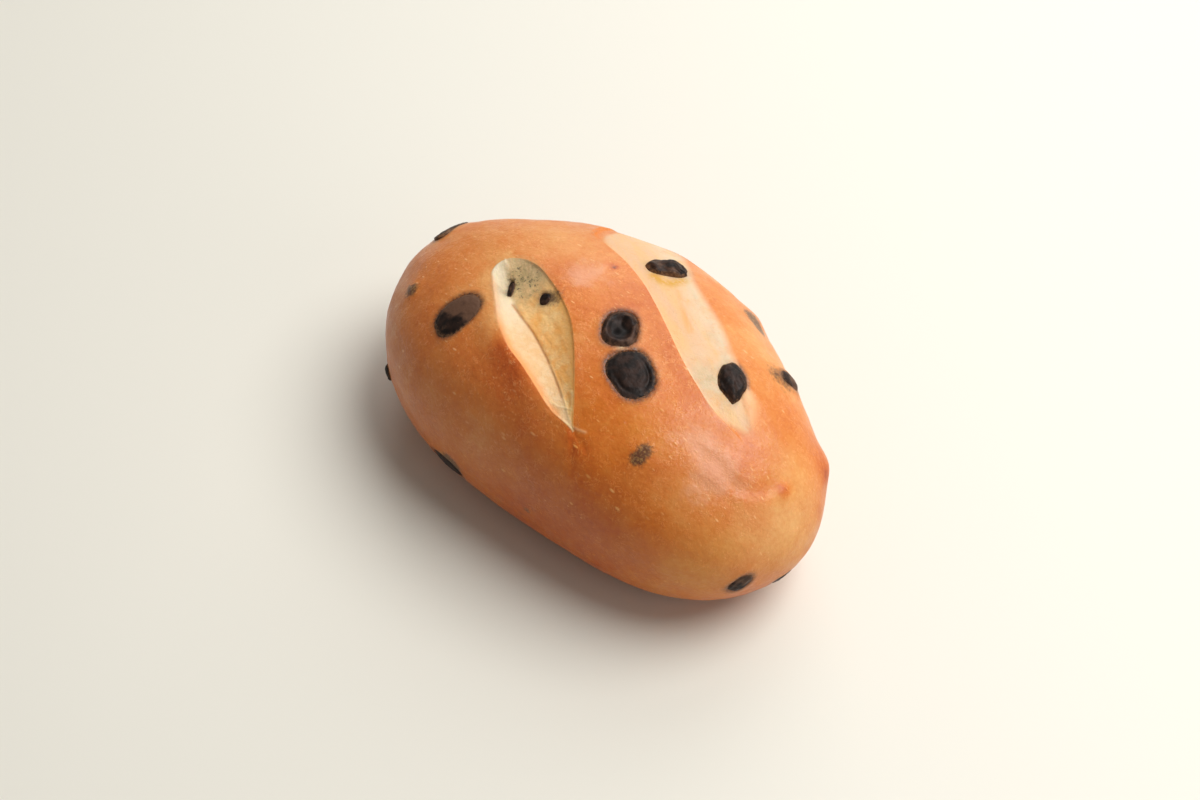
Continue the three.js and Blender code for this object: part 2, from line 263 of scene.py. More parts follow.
def seatOf(chip):
    dirs = direction(np.array([chip["lon"]]), np.array([chip["lat"]]))
    normal = normalOf(skinPoint, dirs)[0]
    east = np.array([-dirs[0, 1], dirs[0, 0], 0.0])
    east = unit(east - normal * (east @ normal))
    north = np.cross(normal, east)
    turn = math.radians(chip["turn"])
    long = east * math.cos(turn) + north * math.sin(turn)
    return {"place": skinPoint(dirs)[0], "axes": np.stack([long, np.cross(normal, long), normal])}


def edgeFactors(form, r, angle):
    if form == "drop":
        return np.ones_like(r), 1 - 0.6 * np.maximum(0, np.cos(angle)) ** 2 * r
    wave = 1 + 0.07 * np.sin(2 * angle) ** 2 + 0.03 * np.cos(3 * angle + 0.6)
    return wave, wave


chips = {}
for name, row in chipTable.items():
    chips[name] = {"film": 0.5, "clear": 0.0, **dict(zip(chipColumns, row)), **chipEdges.get(name, {})}
    chips[name]["seat"] = seatOf(chips[name])


# how far out of a chip's middle points are: 1 at its edge
def chipReach(chip, points):
    local = (points - chip["seat"]["place"]) @ chip["seat"]["axes"].T
    u, v = local[:, 0] / chip["halfLong"], local[:, 1] / chip["halfWide"]
    longer, wider = edgeFactors(chip["form"], np.minimum(np.hypot(u, v), 1), np.arctan2(v, u))
    return np.where(np.abs(local[:, 2]) < 5, np.hypot(u / longer, v / wider), 9)


print("shape functions ready")

# what the fine mesh adds to the solids' form, in mm
rollSkin = {
    "cells": 75,  # cells along each edge of the cube that the roll is blown up from, before refining
    # how near the deep slash's lip, the long slash's lip and a chip's edge the cells are cut in four
    "fineWidths": ((1.6, 1.6, 1.2), (0.55, 0.5, 0.45), (0.15, 0.11, 0.24)),
    "waveLength": 14.0,  # slow unevenness of the crust
    "waveHeight": 0.13,
    "fineLength": 3.4,
    "fineHeight": 0.03,
    "fibreHeight": 0.05,  # threads in the deep slash
    "lip": 0.12,  # how far the crust's edge stands up at the deep slash's left
    "collar": 0.1,  # rise of the crust round a chip
    "sink": 1.1,  # how far the crumb drops away under a chip
    "ragged": 0.02,  # unevenness of the crust's edge on a chip, as a share of the chip
}

# lines drawn in plan, in mm: points, half width, and how much each lifts or lowers the skin
crease = {
    "points": ((-19.8, -10.1), (-16.4, -11.3), (-11.2, -12.9), (-4.9, -15.7), (0.4, -18.3), (4.7, -20.5)),
    "width": 0.28,
    "lift": -0.08,
}
threads = (
    {"points": ((6.0, -18.7), (7.2, -19.8), (8.4, -21.6), (9.9, -23.1)), "width": 0.2, "lift": 0.1},
    {"points": ((-2.6, -16.7), (2.7, -19.1), (6.8, -21.3), (9.2, -22.7)), "width": 0.2, "lift": 0.1},
    {"points": ((3.5, -22.3), (5.3, -22.2), (7.8, -21.3)), "width": 0.2, "lift": 0.08},
)
wrinkle = {"points": ((10.4, -23.3), (11.8, -23.0), (13.5, -22.5)), "width": 0.25, "lift": 0.07}
softFolds = (
    {"points": ((10.7, -23.4), (12.6, -25.4), (15.0, -27.9)), "width": 0.5, "lift": -0.08},
    {"points": ((11.2, -23.7), (13.0, -24.2), (15.5, -24.6)), "width": 0.6, "lift": -0.12},
    {"points": ((41.6, -10.4), (44.3, -8.4), (46.0, -4.9), (46.8, -1.5)), "width": 1.2, "lift": -0.24},
    {"points": ((33.0, -11.0), (37.8, -10.0), (41.6, -10.4)), "width": 1.5, "lift": -0.2},
    {"points": ((44.5, -11.0), (47.2, -8.0), (48.8, -4.0)), "width": 1.4, "lift": 0.14},
    {"points": ((34.5, -15.5), (38.5, -14.5), (42.5, -13.0)), "width": 1.1, "lift": -0.16},
)
# small swellings and dents of the crust: place, reach, height in mm
swellings = (((47.9, 11.2, 26.3), 3.2, 0.5), ((49.6, 7.2, 24), 1.7, -0.25), ((47.7, -2.7, 33.5), 1.6, 0.16))


def cubeToDirections(coords):
    return unit(np.tan(coords * math.pi / 4))


# closeness of points to a line in plan, 1 on it
def onLine(line, points):
    plan = points[:, :2]
    nearest = np.full(len(points), 99.0)
    ends = [np.array(end) for end in line["points"]]
    for a, b in zip(ends, ends[1:]):
        share = np.clip((plan - a) @ (b - a) / ((b - a) @ (b - a)), 0, 1)
        nearest = np.minimum(nearest, np.linalg.norm(plan - a - share[:, None] * (b - a), axis=1))
    return np.exp(-(nearest / line["width"]) ** 2) * (points[:, 2] > rollForm["height"] * 0.4)


def rollSurface(dirs):
    plain = plainPoint(dirs)
    deep, shallow = inSlash(deepSlash, plain), inSlash(longSlash, plain)
    normal = normalOf(plainPoint, dirs)
    lift = relief(plain) - slashDepth(deepSlash, deep) - slashDepth(longSlash, shallow)
    s = rollSkin
    crust = 1 - smoothStep(np.maximum(deep["inside"], shallow["inside"]), -0.3, 0.3)
    free = smoothStep(plain[:, 2], 0.3, 5)  # the base stays flat
    lift += s["waveHeight"] * slowWaves(plain, s["waveLength"], 3) * free
    lift += s["fineHeight"] * slowWaves(plain, s["fineLength"], 5) * free * (0.5 + 0.5 * crust)
    # the crust's edge stands up a little at the deep slash's left lip
    lip = np.exp(-((deep["inside"] + 0.6) / 0.9) ** 2) * (deep["inside"] < 0.3) * (deep["across"] < 0)
    lift += s["lip"] * lip * smoothStep(28 - deep["along"], 0, 6)
    # threads and small folds in the deep slash, along its length
    fibres = np.stack([deep["along"] * 0.2, deep["across"], plain[:, 2] * 0], -1)
    drawn = slowWaves(fibres, 1.5, 11) * smoothStep(16 - deep["along"], 0, 12)
    lumps = slowWaves(plain, 2.1, 13) * smoothStep(deep["along"], 12, 24)
    onWall = smoothStep(deep["inside"], 0.2, 1.6) * smoothStep(deep["fromValley"], -1.2, 0.5)
    lift += s["fibreHeight"] * (drawn + lumps) * onWall
    for line in (crease, wrinkle, *threads, *softFolds):
        lift += line["lift"] * onLine(line, plain)
    lift += spots(plain, swellings)
    points = plain + normal * lift[:, None]
    rim = np.full(len(points), 9.0)
    ragged = s["ragged"] * slowWaves(plain, 2.2, 17)
    for chip in chips.values():
        reach = np.minimum(chipReach(chip, points), 3)
        gap = (reach - 1) * chip["halfWide"]
        rim = np.minimum(rim, gap + chip["clear"])
        collar = s["collar"] * np.exp(-((gap - 0.5) / 0.6) ** 2) * (reach > 0.98)
        points += normal * (collar - s["sink"] * smoothStep(0.96 + ragged - reach, 0, 0.14))[:, None]
    return points, plain, deep, shallow, rim


# cuts the wanted faces in four
def refine(bm, wanted):
    bm.faces.ensure_lookup_table()
    edges = {edge for index in np.nonzero(wanted)[0] for edge in bm.faces[index].edges}
    bmesh.ops.subdivide_edges(bm, edges=list(edges), cuts=1, use_grid_fill=True, use_single_edge=True)


def faceDirections(bm):
    return cubeToDirections(np.array([face.calc_center_median() for face in bm.faces]))


def chipGap(points):
    gap = np.full(len(points), 9.0)
    for chip in chips.values():
        gap = np.minimum(gap, np.abs(chipReach(chip, points) - 0.97) * chip["halfWide"])
    return gap


def buildRoll():
    bm = bmesh.new()
    bmesh.ops.create_cube(bm, size=2)
    bmesh.ops.subdivide_edges(bm, edges=bm.edges[:], cuts=rollSkin["cells"] - 1, use_grid_fill=True)
    # finer cells in the slashes, along their lips, round the chips and at the drawn lines, in three passes
    for passNumber, (deepLip, longLip, chipEdgeWidth) in enumerate(rollSkin["fineWidths"]):
        dirs = faceDirections(bm)
        plain, skin = plainPoint(dirs), skinPoint(dirs)
        deep, shallow = inSlash(deepSlash, plain), inSlash(longSlash, plain)
        fine = (np.abs(deep["inside"]) < deepLip) | (np.abs(shallow["inside"]) < longLip)
        fine |= chipGap(skin) < chipEdgeWidth
        if passNumber == 0:
            fine |= (deep["inside"] > 0) | (shallow["inside"] > 0)
        if passNumber < 2:
            for line in (crease, wrinkle, *threads, *softFolds[:2]):
                fine |= onLine(line, plain) > (0.02, 0.25)[passNumber]
        refine(bm, fine)
    coords = np.array([v.co for v in bm.verts])
    points, *parts = rollSurface(cubeToDirections(coords))
    for vert, point in zip(bm.verts, points * mm):
        vert.co = point
    bmesh.ops.recalc_face_normals(bm, faces=bm.faces[:])
    mesh = bpy.data.meshes.new("roll")
    bm.to_mesh(mesh)
    bm.free()
    mesh.polygons.foreach_set("use_smooth", [True] * len(mesh.polygons))
    return mesh, *parts


def keepAttribute(mesh, name, values):
    attribute = mesh.attributes.new(name, "FLOAT", "POINT")
    attribute.data.foreach_set("value", np.asarray(values, np.float32))


def addPiece(name, mesh, material, slotName, *replaced):
    piece = bpy.data.objects.new(name, mesh)
    bpy.context.scene.collection.objects.link(piece)
    mesh.materials.append(material)
    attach(piece, "root")
    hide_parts(*replaced)


def linear(hexColour):
    values = [int(hexColour[i:i + 2], 16) / 255 for i in (1, 3, 5)]
    return [*(v / 12.92 if v <= 0.04045 else ((v + 0.055) / 1.055) ** 2.4 for v in values), 1]


# settings that many nodes share
times = {"operation": "MULTIPLY"}
timesClamped = {"operation": "MULTIPLY", "use_clamp": True}
timesPlus = {"operation": "MULTIPLY_ADD"}
lessClamped = {"operation": "SUBTRACT", "use_clamp": True}
less = {"operation": "SUBTRACT"}
over = {"operation": "DIVIDE"}
larger = {"operation": "MAXIMUM"}
unsigned = {"operation": "ABSOLUTE"}
softly = {"interpolation_type": "SMOOTHSTEP"}  # of a value, from where it is 0 to where it is 1
blend = {"data_type": "RGBA"}
tint = {"data_type": "RGBA", "blend_type": "MULTIPLY"}


# Adds a node and gives one of its outputs. Stops fill a ramp, an input is a value, a colour or a socket
# to link, and inputs without names are in the order of the node's sockets.
def addNode(tree, kind, settings, inputs, output=0):
    made = tree.nodes.new("ShaderNode" + kind)
    for name, value in settings.items():
        if name == "stops":
            ramp = made.color_ramp
            while len(ramp.elements) < len(value):
                ramp.elements.new(0.5)
            for element, (position, colour) in zip(ramp.elements, value):
                element.position = position
                element.color = linear(colour)
        else:
            setattr(made, name, value)
    for name, value in inputs.items() if isinstance(inputs, dict) else enumerate(inputs):
        if isinstance(value, bpy.types.NodeSocket):
            tree.links.new(value, made.inputs[name])
        else:
            made.inputs[name].default_value = linear(value) if isinstance(value, str) else value
    return made.outputs[output]


# lays colours over one another, each by its own amount
def addLayers(tree, colour, layers):
    for amount, above in layers:
        colour = addNode(tree, "Mix", blend, {0: amount, 6: colour, 7: above}, 2)
    return colour


# scattered round grains, 1 in their middle: spacing in mm, size in spacings, and the share that shows
def addGrains(tree, place, spacing, size, share):
    distance = addNode(tree, "TexVoronoi", {}, {"Vector": place, "Scale": 1 / (spacing * mm)}, "Distance")
    draw = addNode(tree, "SeparateColor", {}, {"Color": distance.node.outputs["Color"]})
    chosen = addNode(tree, "MapRange", softly, (draw, 1 - share, 1 - share + 0.15))
    reach = addNode(tree, "Math", timesPlus, (draw.node.outputs[1], size, size * 0.5))
    near = addNode(tree, "Math", lessClamped, (1.0, addNode(tree, "Math", over, (distance, reach))))
    return addNode(tree, "Math", times, (near, chosen))


# a soft amount with an edge that a noise makes ragged
def addRagged(tree, amount, noise, strength):
    pushed = addNode(tree, "Math", timesPlus, (noise, strength * 2, amount))
    edge = addNode(tree, "MapRange", softly, (pushed, 0.2 + strength, 0.75 + strength))
    within = addNode(tree, "MapRange", softly, (amount, 0.02, 0.25))
    return addNode(tree, "Math", times, (edge, within))


def newMaterial(name):
    material = bpy.data.materials.new(name)
    material.use_nodes = True
    return material, material.node_tree


def setShader(tree, inputs):
    shader = tree.nodes["Principled BSDF"]
    for name, value in inputs.items():
        if isinstance(value, bpy.types.NodeSocket):
            tree.links.new(value, shader.inputs[name])
        else:
            shader.inputs[name].default_value = value


# Baked wheat crust, milk dough without a glaze: satin, amber to red brown, with pale blisters under a
# millimetre. Where it was slashed the drier cream crumb shows, toasted to gold where the slash tore open.
crustLook = {
    "browning": (
        (0.0, "#e8b070"), (0.25, "#dd9655"), (0.5, "#d37b38"),
        (0.72, "#c56528"), (0.9, "#b0501d"), (1.0, "#8c4018"),
    ),
    "mottling": {"patches": 0.4, "mottle": 0.36, "speckle": 0.4},  # how much each noise varies the browning
    "blister": "#efb57c",
    "fleck": "#eda264",
    # multiplies the colour: painted warm shade low on the sides, and deeper orange in patches
    "warmShadeAndOrangeTint": (1.0, 0.87, 0.5, 1),  # multiplies
    # pale pinkish colour of the painted sheen, a painted highlight
    "dull": "#e0a07a",
    "cream": "#dab07c",
    "creamPale": "#debc8f",
    "creamHead": "#d8c7a8",
    "gold": "#fdb865",
    "goldPale": "#ffcf8c",
    "goldHead": "#e0bf8e",
    "goldLip": "#f6b868",
    "lipGlow": "#e39a5a",
    # brown of the painted shade in the crease
    "crease": "#a5652a",
    "thread": "#f6dba8",
    "peach": "#dbb088",
    "yellow": "#dfb27c",
    "longPale": "#dac3a2",
    "tipPeach": "#ecab74",
    "stain": "#cf9a3c",
    "streak": "#e39f5a",
    "smear": "#a39468",
    "speck": "#3a3128",
    "coveredFleck": "#8a6f45",
    "coveredChip": "#41302a",
    "roughness": 0.4,
    "shader": {
        "IOR": 1.43,
        "Subsurface Weight": 0.15,
        "Subsurface Radius": (1.0, 0.45, 0.18),
        "Subsurface Scale": 2.0 * mm,
    },
}
crustNoises = {  # size in mm, detail, roughness, distortion
    "patches": (11.0, 3, 0.55, 0),
    "mottle": (3.4, 4, 0.65, 0),
    "speckle": (0.9, 4, 0.7, 0),
    "crazing": (1.6, 2, 0.5, 1.4),
    "crazed": (2.6, 3, 0.7, 0),
    "blistered": (8.0, 3, 0.55, 0),
    "paintedSheenEdge": (2.4, 4, 0.6, 0),
    "crumb": (0.9, 4, 0.65, 0),
    "creamPatches": (1.8, 4, 0.6, 0),
    "goldPatches": (2.6, 3, 0.55, 0),
    "palePatches": (3.6, 3, 0.55, 0),
    "orangePatches": (1.3, 4, 0.65, 0),
    "fine": (0.55, 4, 0.7, 0),
    "coarse": (1.5, 4, 0.65, 0),
    "squiggles": (1.5, 2, 0.5, 1.0),
    "chipCover": (0.9, 4, 0.6, 0),
    "skinGrain": (0.8, 4, 0.6, 0),
    "skinDents": (2.2, 2, 0.55, 0),
    "gloss": (6.0, 3, 0.55, 0),
}
# the attributes that paintRoll keeps on the roll's mesh
crustPaint = (
    "browning", "warm", "dull", "edgeDeep", "edgeLong", "insideDeep", "lipGlow", "fromValley", "acrossLong",
    "alongDeep", "alongLong", "crease", "stain", "streak", "pale", "smear", "covered", "halo",
)


def makeCrust():
    look = crustLook
    material, tree = newMaterial("bakedCrust")
    node, layers, grains = partial(addNode, tree), partial(addLayers, tree), partial(addGrains, tree)
    place = node("TexCoord", {}, {}, "Object")
    paint = {name: node("Attribute", {"attribute_name": name}, {}, "Fac") for name in crustPaint}
    noise = {}
    for name, (size, detail, rough, bend) in crustNoises.items():
        inputs = {"Vector": place, "Scale": 1 / (size * mm), "Detail": detail, "Roughness": rough}
        noise[name] = node("TexNoise", {}, {**inputs, "Distortion": bend})

    browning = paint["browning"]
    for name, amount in look["mottling"].items():
        browning = node("Math", timesPlus, (noise[name], amount, browning))
    crust = node("ValToRGB", {"stops": look["browning"]}, {"Fac": browning})

    # short pale flecks, where the skin crazed as the dough rose
    craze = node("Math", unsigned, (node("Math", less, (noise["crazing"], 0.5)),))
    thin = node("MapRange", softly, (craze, 0.05, 0.0))
    flecks = node("Math", times, (thin, node("MapRange", softly, (noise["crazed"], 0.46, 0.6))))
    # blisters: pale grains in two sizes, the larger ones drawn out, more of them in patches
    drawn = node("Mapping", {}, {"Vector": place, "Rotation": (0.3, 0.2, 0.9), "Scale": (1, 3.2, 1.8)})
    small = node("Math", times, (grains(place, 0.85, 0.26, 0.6), 0.6))
    large = node("Math", timesClamped, (grains(drawn, 3.1, 0.19, 0.55), 1.8))
    patchy = node("MapRange", softly, (noise["blistered"], 0.36, 0.62))
    patchy = node("Math", timesPlus, (patchy, 0.75, 0.25))
    blister = node("Math", times, (node("Math", larger, (small, large)), patchy))
    crust = layers(crust, (
        (node("Math", times, (flecks, 0.45)), look["fleck"]),
        (node("Math", times, (blister, 0.8)), look["blister"]),
    ))
    # a warm painted shade low on the sides, standing in for the warm light in the shade there, and a deeper
    # orange in patches on top
    crust = node("Mix", tint, {0: paint["warm"], 6: crust, 7: look["warmShadeAndOrangeTint"]}, 2)
    # painted sheen: pale pinkish patches with ragged edges that paint the crust's highlight
    dull = addRagged(tree, paint["dull"], noise["paintedSheenEdge"], 0.5)
    crust = layers(crust, ((node("Math", times, (dull, 0.6)), look["dull"]),))

    # the deep slash: cream left wall, golden right wall, and between them a brown line along the crease,
    # which is painted shade in the crease
    across, along = paint["fromValley"], paint["alongDeep"]
    fibrePlace = node("CombineXYZ", {}, (across, node("Math", times, (along, 0.22))))
    fibre = node("TexNoise", {}, {"Vector": fibrePlace, "Scale": 1.0, "Detail": 3.0, "Roughness": 0.5})
    creamWall = layers(look["cream"], (
        (node("MapRange", softly, (noise["creamPatches"], 0.38, 0.66)), look["creamPale"]),
        (node("MapRange", softly, (along, 22.0, 34.0)), look["creamHead"]),
        (paint["lipGlow"], look["lipGlow"]),
    ))
    drawnFibre = node("MapRange", softly, (fibre, 0.42, 0.62))
    goldWall = layers(look["gold"], (
        (node("MapRange", softly, (noise["goldPatches"], 0.35, 0.68)), look["goldPale"]),
        (node("Math", times, (drawnFibre, 0.3)), look["goldPale"]),
        (node("MapRange", softly, (paint["insideDeep"], 2.0, 0.3)), look["goldLip"]),
        (node("MapRange", softly, (along, 28.0, 38.0)), look["goldHead"]),
    ))
    # the walls meet crisply along the crease, and softly at the head
    sharp = node("MapRange", softly, (along, 27.0, 34.0))
    sharp = node("Math", timesPlus, (sharp, -0.78, 1.0))
    side = node("Math", less, (noise["crumb"], 0.5))
    side = node("Math", timesPlus, (side, 0.9, across))
    side = node("MapRange", softly, (node("Math", times, (side, sharp)), -0.25, 0.35))
    threads = node("MapRange", softly, (fibre, 0.5, 0.62))
    threads = node("Math", times, (threads, node("MapRange", softly, (along, 14.0, 3.0))))
    deepCrumb = layers(creamWall, (
        (side, goldWall),
        # painted shade along the crease
        (node("Math", times, (paint["crease"], 0.75)), look["crease"]),
        (node("Math", times, (threads, 0.3)), look["thread"]),
    ))

    # the long slash: peach, paler towards its tip and its right side, with orange streaks
    across, along = paint["acrossLong"], paint["alongLong"]
    bandPlace = node("CombineXYZ", {}, (across, node("Math", times, (along, 0.16))))
    band = node("TexNoise", {}, {"Vector": bandPlace, "Scale": 0.42, "Detail": 3.0})
    streak = node("Math", times, (paint["streak"], node("MapRange", softly, (band, 0.3, 0.6))))
    nearTip = node("MapRange", softly, (along, 26.0, 10.0))
    whiter = node("Math", larger, (nearTip, node("MapRange", softly, (across, -3.0, 3.5))))
    whiter = node("Math", times, (whiter, node("MapRange", softly, (noise["palePatches"], 0.28, 0.6))))
    whiter = node("Math", times, (whiter, node("MapRange", softly, (along, 5.0, 12.0))))
    orange = node("MapRange", softly, (noise["orangePatches"], 0.54, 0.72))
    besideTip = node("MapRange", softly, (along, 13.0, 8.0))
    besideTip = node("Math", times, (besideTip, node("MapRange", softly, (across, 0.3, 1.6))))
    # the darker yellow line beside the lumpy chip
    stain = node("Math", times, (paint["stain"], node("MapRange", softly, (noise["crumb"], 0.25, 0.55))))
    longCrumb = layers(look["peach"], (
        (node("MapRange", softly, (band, 0.38, 0.68)), look["yellow"]),
        (streak, look["streak"]),
        (node("Math", times, (whiter, 0.9)), look["longPale"]),
        (node("Math", times, (orange, 0.3)), look["streak"]),
        (node("Math", times, (besideTip, 0.75)), look["tipPeach"]),
        (stain, look["stain"]),
        (node("Math", times, (grains(place, 2.6, 0.1, 0.16), 0.9)), look["speck"]),
    ))
    deepMask = node("MapRange", softly, (paint["edgeDeep"], -0.5, 0.5))
    longMask = node("MapRange", softly, (paint["edgeLong"], -0.5, 0.5))
    inSlashes = node("Math", larger, (deepMask, longMask))

    # smears of chocolate with dark squiggles, chips that show dark through the crust, and the chips' halos
    smear, coarse, fine = paint["smear"], noise["coarse"], noise["fine"]
    film = node("Math", times, (smear, node("MapRange", softly, (coarse, 0.3, 0.7))))
    squiggle = node("Math", unsigned, (node("Math", less, (noise["squiggles"], 0.5)),))
    specks = node("MapRange", softly, (squiggle, 0.045, 0.02))
    for limit in ((coarse, 0.47, 0.58), (smear, 0.4, 0.9)):
        specks = node("Math", times, (specks, node("MapRange", softly, limit)))
    specks = node("Math", times, (specks, deepMask))
    covered = addRagged(tree, paint["covered"], noise["chipCover"], 0.45)
    coveredColour = layers(look["coveredChip"], (
        (node("MapRange", softly, (fine, 0.46, 0.62)), look["coveredFleck"]),
    ))
    halo = node("Math", timesPlus, (fine, 1.6, -0.05))
    colour = layers(crust, (
        (deepMask, deepCrumb),
        (longMask, longCrumb),
        (paint["pale"], look["thread"]),
        (node("Math", times, (film, 0.7)), look["smear"]),
        (node("Math", times, (specks, 0.8)), look["speck"]),
        (node("Math", times, (covered, 0.85)), coveredColour),
        (node("Math", timesClamped, (paint["halo"], halo)), look["coveredChip"]),
    ))

    # height in mm: skin grain, flecks, blisters, crumb
    reliefs = (
        (noise["skinGrain"], 0.14),
        (noise["skinDents"], 0.14),
        (flecks, 0.03),
        (blister, 0.05),
        (node("Math", times, (noise["crumb"], inSlashes)), 0.12),
        (node("Math", times, (fibre, deepMask)), 0.06),
    )
    height = 0.0
    for pattern, rise in reliefs:
        height = node("Math", timesPlus, (pattern, rise, height))
    rough = node("Math", timesPlus, (inSlashes, 0.2, look["roughness"] - 0.1))
    rough = node("Math", timesPlus, (node("MapRange", softly, (noise["gloss"], 0.35, 0.65)), 0.14, rough))
    bump = node("Bump", {}, {"Height": height, "Strength": 0.8, "Distance": mm})
    setShader(tree, {"Base Color": colour, "Roughness": rough, "Normal": bump, **look["shader"]})
    return material


# Dark baking chocolate that melted and set again in the oven: near black brown, half matte, brown grey where
# a thin skin of dough dried on it, and a painted shade near black in the ring chip's hollow.
chocolateLook = {
    "dark": "#17100d",
    "brown": "#33221b",
    "skin": "#624636",
    "film": "#7d5a3f",
    # near black painted shade in the ring chip's hollow
    "hollow": "#080504",
    "roughness": 0.5,
    "shader": {"IOR": 1.4, "Specular IOR Level": 0.25},
}
chocolateNoises = {  # size in mm, detail, roughness
    "brown": (2.0, 4, 0.55),
    "skin": (1.7, 4, 0.55),
    "film": (0.6, 4, 0.7),
    "gloss": (1.4, 3, 0.55),
    "dents": (0.6, 4, 0.55),
}
chocolatePaint = ("skin", "film", "hollow")  # the attributes that buildChip keeps


def makeChocolate():
    look = chocolateLook
    material, tree = newMaterial("bakedChocolate")
    node = partial(addNode, tree)
    place = node("TexCoord", {}, {}, "Object")
    paint = {name: node("Attribute", {"attribute_name": name}, {}, "Fac") for name in chocolatePaint}
    noise = {}
    for name, (size, detail, rough) in chocolateNoises.items():
        inputs = {"Vector": place, "Scale": 1 / (size * mm), "Detail": detail, "Roughness": rough}
        noise[name] = node("TexNoise", {}, inputs)
    colour = addLayers(tree, look["dark"], (
        (node("MapRange", softly, (noise["brown"], 0.36, 0.66)), look["brown"]),
        (addRagged(tree, paint["skin"], noise["skin"], 0.6), look["skin"]),
        (node("Math", times, (addGrains(tree, place, 0.8, 0.2, 0.35), 0.3)), look["film"]),
        (addRagged(tree, paint["film"], noise["film"], 0.6), look["film"]),
        # painted shade in the ring chip's hollow
        (paint["hollow"], look["hollow"]),
    ))
    rough = node("Math", timesPlus, (noise["gloss"], 0.5, look["roughness"] - 0.25))
    rough = node("Math", larger, (rough, node("Math", times, (paint["hollow"], 0.95))))
    bump = node("Bump", {}, {"Height": noise["dents"], "Strength": 0.6, "Distance": 0.16 * mm})
    setShader(tree, {"Base Color": colour, "Roughness": rough, "Normal": bump, **look["shader"]})
    return material


# where the roll is browner or paler: a place in mm, how far it reaches, how much. Some paler spots on the
# top right paint a sheen, a painted highlight
browningAndSheenSpots = (
    ((-12, -20, 43), 3, 0.15),
    ((-16, -21.5, 41), 4, -0.06),
    ((-7, -22.5, 42), 4, 0.16),
    ((-6, -24, 40), 6, 0.06),
    ((0, -27, 38), 7, 0.04),
    ((-14, -28, 36), 11, 0.03),
    ((15, -31, 27), 14, 0.14),
    ((16, -26, 37), 4, 0.1),
    ((30, -26, 28), 12, -0.02),
    ((1, 5, 45), 5, 0.14),
    ((-28, -16, 41), 6, -0.15),
    ((-17, -18, 43), 3.5, -0.22),
    ((-32, 4, 41), 9, -0.2),
    ((-25, 10, 41), 9, -0.14),
    ((-22, -33, 14), 12, 0.04),
    ((0, -34, 14), 12, 0.1),
    ((22, -31, 14), 12, 0.1),
    ((28, -16, 40), 8, -0.12),
    ((50, -8, 26), 11, -0.24),
    ((47, 3, 33), 7, -0.22),
    ((52, -3, 24), 9, -0.14),
    ((28, 16, 36), 10, -0.24),
    ((20.8, 16.4, 39.7), 5, -0.12),
    ((14, 22, 38), 9, -0.1),
    ((9.7, 26.5, 34.3), 6, 0.12),
    ((44.3, -22.8, 24.1), 9, -0.2),
    # a paler spot of painted sheen
    ((37.1, -18.3, 36.1), 5, -0.14),
    ((28.3, -19.6, 38.9), 4, 0.06),
    ((46.5, 12, 29), 5, 0.12),
    ((47.7, -2.7, 33.5), 1.5, 0.5),
    ((45, -6.5, 35), 2, 0.12),
    ((-8.8, 9.5, 44.5), 0.9, 0.7),
    ((4, -15, 44), 7, 0.06),
    ((26, -4, 43), 6, 0.02),
    ((3, 2, 46), 8, 0.06),
    ((8, 28, 34), 8, -0.2),
    ((-8, 12, 44), 7, -0.14),
    ((48.3, 10, 26), 1.8, 0.35),
)
smears = (  # grey smears: place, reach, strength
    ((-22.5, -4.3, 43), 4.0, 0.9),
    ((-19.0, -5.0, 43), 3.8, 0.9),
    ((23.4, 2.4, 44), 2.8, 0.7),
    ((16.5, 10.8, 43), 1.6, 0.35),
)
coveredChips = (  # dark through the crust: place, reach, strength
    ((-40.8, -17.4, 34), 1.9, 0.95),
    ((24.9, -20.0, 39.6), 1.7, 0.95),
    ((25.2, -17.8, 40.7), 1.5, 0.9),
    ((47.7, -2.7, 33.5), 0.8, 0.4),
    ((-8.8, 9.5, 44.5), 0.6, 0.7),
    ((6.9, -32.9, 17.8), 1.1, 0.65),
    ((-12.1, -4.9, 46.1), 2.3, 0.8),
    ((14.9, 26.1, 33), 2.6, 0.95),
    ((18, 25, 33), 2.2, 0.8),
    ((29.2, 15.7, 37), 2.4, 0.5),
    ((32, 15.5, 35), 2.6, 0.5),
)
coveredByAngle = ((23, 14.5, 1.2, 0.3), (-106, -9.5, 3.0, 1.1), (112, -8, 2.4, 0.8), (86, 4, 2.2, 0.7))
# deeper orange in patches, and pale pinkish patches of painted sheen, a painted highlight on the crust's top
# and right: place, reach, strength
warmSpots = (
    ((16, -18.2, 42.3), 10, 0.9), ((22, -7.7, 44), 8, 0.6), ((-5.5, -1.1, 46), 8, 0.6),
    ((17.9, -23, 39), 8, 0.5),
    ((39, -6, 39), 6, 0.4), ((47.3, 11, 27), 7, 0.9), ((9.7, 26.5, 34.3), 8, 0.5), ((44, -22, 24), 10, 0.9),
    ((32, -26, 28), 9, 0.8), ((14.8, -31, 27), 12, 0.6), ((47.7, -2.7, 33.5), 3, 0.6),
)
paintedSheenSpots = (
    ((31.5, -9.4, 41.5), 3.8, 0.65), ((37.8, -11, 38.6), 4.4, 0.95), ((37.1, -17, 36.5), 4, 0.42),
    ((43.2, -8.3, 36.4), 2.8, 0.3), ((27.5, -13, 42), 2.2, 0.3), ((-10.5, 5, 45), 5, 0.6),
    ((-12, 1.5, 45.7), 3, 0.4),
)
paleSpots = (((7.1, -5.6, 46), 0.9, 0.75), ((32.2, 0.8, 41.7), 2.0, 0.12))


# browning, with painted shade and painted sheen in it, from 0, pale, to 1, dark: everywhere, at the base, in
# slow waves, beside the lips and more
rollPaint = {"middle": 0.52, "base": 0.3, "waves": 0.05, "lip": 0.12, "underWrinkle": 0.18, "head": 0.22}


